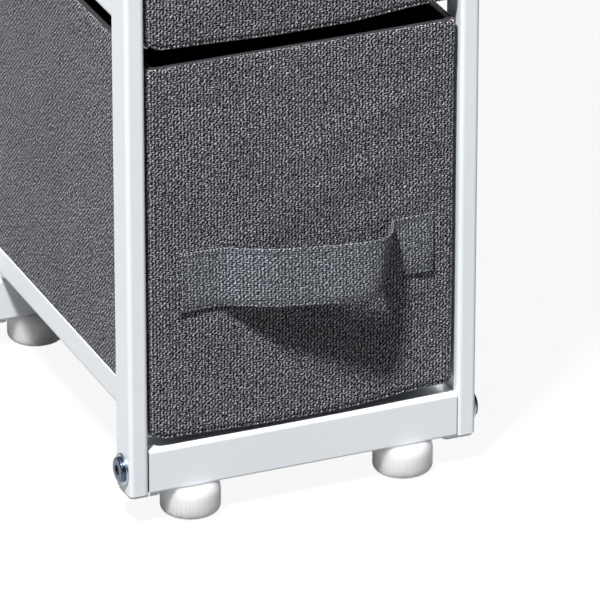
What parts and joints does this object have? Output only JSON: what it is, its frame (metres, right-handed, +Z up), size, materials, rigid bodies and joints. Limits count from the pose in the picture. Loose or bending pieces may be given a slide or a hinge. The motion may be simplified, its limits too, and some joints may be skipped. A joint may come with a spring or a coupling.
{
  "type": "drawer unit",
  "caption": "Slim upright drawer tower: flat-tube steel frame on screw feet, fabric drawers that slide on angle runners, each with a sewn strap handle, under a plain top board.",
  "frame": {"origin": "on the floor, under the middle of the whole unit with its handles", "axes": "+Z up, -Y towards the front that the handles are on, +X to the right seen from the front"},
  "size_m": [0.248, 0.3291, 0.8965],
  "materials": {
    "white_steel": "satin powder coat",
    "zinc_steel": "bright zinc",
    "white_plastic": "satin moulded",
    "grey_fabric": "coarse basket weave",
    "lining_cloth": "pressed cloth",
    "fibre_board": "raw fibreboard",
    "grey_laminate": "matt light grey laminate"
  },
  "bodies": {
    "frame": {"post_front_left": "white_steel", "post_front_right": "white_steel", "post_rear_left": "white_steel", "post_rear_right": "white_steel", "lower_front_rail": "white_steel", "lower_rear_rail": "white_steel", "upper_front_rail": "white_steel", "upper_rear_rail": "white_steel", "upper_left_rail": "white_steel", "upper_right_rail": "white_steel", "corner_plates": "white_steel", "frame_bolts": "zinc_steel", "bolt_washers": "zinc_steel", "rail_nuts": "zinc_steel", "foot_nuts": "zinc_steel", "board_screws": "zinc_steel", "top_board": "grey_laminate", "runner_1_left": "white_steel", "runner_1_right": "white_steel", "runner_2_left": "white_steel", "runner_2_right": "white_steel", "runner_3_left": "white_steel", "runner_3_right": "white_steel"},
    "foot_front_left": {"foot_front_left": "white_plastic", "stud_front_left": "zinc_steel"},
    "foot_front_right": {"foot_front_right": "white_plastic", "stud_front_right": "zinc_steel"},
    "foot_rear_left": {"foot_rear_left": "white_plastic", "stud_rear_left": "zinc_steel"},
    "foot_rear_right": {"foot_rear_right": "white_plastic", "stud_rear_right": "zinc_steel"},
    "drawer_1": {"drawer_1_cover": "grey_fabric", "drawer_1_front_board": "fibre_board", "drawer_1_back_board": "fibre_board", "drawer_1_side_boards": "fibre_board", "drawer_1_base_board": "fibre_board", "drawer_1_lining": "lining_cloth", "drawer_1_handle": "grey_fabric"},
    "drawer_2": {"drawer_2_cover": "grey_fabric", "drawer_2_front_board": "fibre_board", "drawer_2_back_board": "fibre_board", "drawer_2_side_boards": "fibre_board", "drawer_2_base_board": "fibre_board", "drawer_2_lining": "lining_cloth", "drawer_2_handle": "grey_fabric"},
    "drawer_3": {"drawer_3_cover": "grey_fabric", "drawer_3_front_board": "fibre_board", "drawer_3_back_board": "fibre_board", "drawer_3_side_boards": "fibre_board", "drawer_3_base_board": "fibre_board", "drawer_3_lining": "lining_cloth", "drawer_3_handle": "grey_fabric"}
  },
  "joints": [
    {"name": "drawer_1_slide", "type": "slide", "parent": "frame", "child": "drawer_1", "axis": [0, -1, 0], "range_m": [0, 0.2]},
    {"name": "drawer_2_slide", "type": "slide", "parent": "frame", "child": "drawer_2", "axis": [0, -1, 0], "range_m": [0, 0.2]},
    {"name": "drawer_3_slide", "type": "slide", "parent": "frame", "child": "drawer_3", "axis": [0, -1, 0], "range_m": [0, 0.2]},
    {"name": "foot_front_left_height", "type": "slide", "parent": "frame", "child": "foot_front_left", "axis": [0, 0, -1], "range_m": [0, 0.012]},
    {"name": "foot_front_right_height", "type": "slide", "parent": "frame", "child": "foot_front_right", "axis": [0, 0, -1], "range_m": [0, 0.012]},
    {"name": "foot_rear_left_height", "type": "slide", "parent": "frame", "child": "foot_rear_left", "axis": [0, 0, -1], "range_m": [0, 0.012]},
    {"name": "foot_rear_right_height", "type": "slide", "parent": "frame", "child": "foot_rear_right", "axis": [0, 0, -1], "range_m": [0, 0.012]}
  ]
}
